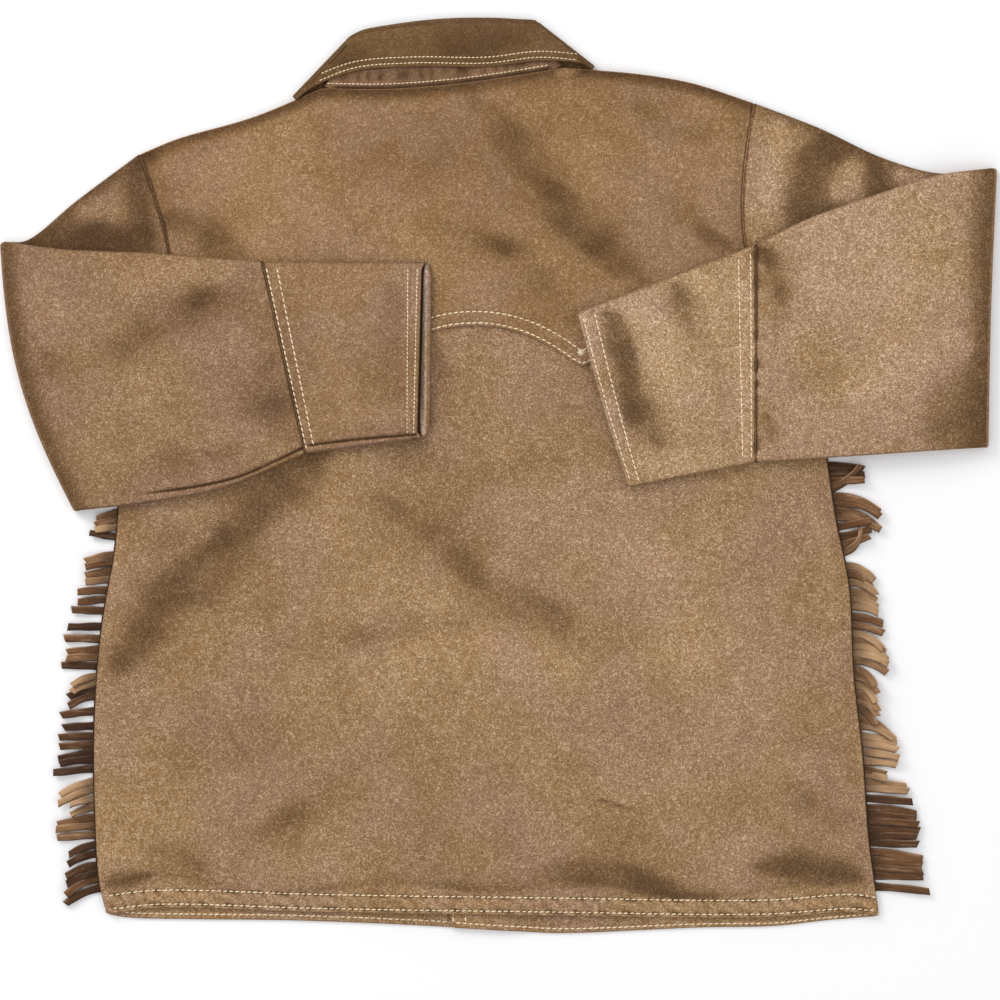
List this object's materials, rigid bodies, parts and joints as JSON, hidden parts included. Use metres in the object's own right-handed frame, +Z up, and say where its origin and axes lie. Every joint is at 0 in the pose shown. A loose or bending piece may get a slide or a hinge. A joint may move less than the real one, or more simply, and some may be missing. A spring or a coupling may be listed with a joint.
{
  "type": "western jacket, laid flat with folded sleeves",
  "caption": "Brown suede-cloth western jacket laid face down, sleeves folded over the back, with pointed back yoke, deep cuffs, turned-down collar and fringed side seams.",
  "frame": {"origin": "on the surface the jacket lies on, under the middle of the whole jacket", "axes": "+X across the back towards the wearer's right, +Y from the hem to the collar, +Z up from the surface; the back faces up"},
  "size_m": [0.8463, 0.7766, 0.0217],
  "materials": {
    "suede": "brushed mottled brown suede cloth with a low sheen",
    "collar_suede": "the same cloth, darker round the neck",
    "fringe_suede": "matt dark brown split suede",
    "thread": "cream topstitching thread",
    "stud_metal": "antiqued metal"
  },
  "bodies": {
    "root": {"front_left": "suede", "front_right": "suede", "back": "suede", "yoke": "suede", "sleeve_left": "suede", "sleeve_right": "suede", "cuff_left": "suede", "cuff_right": "suede", "collar_leaf": "collar_suede", "collar_stand": "collar_suede", "fringe_left": "fringe_suede", "fringe_right": "fringe_suede", "stud_1": "stud_metal", "stud_2": "stud_metal", "stud_3": "stud_metal", "stud_4": "stud_metal", "stud_5": "stud_metal", "stud_6": "stud_metal"}
  },
  "joints": []
}
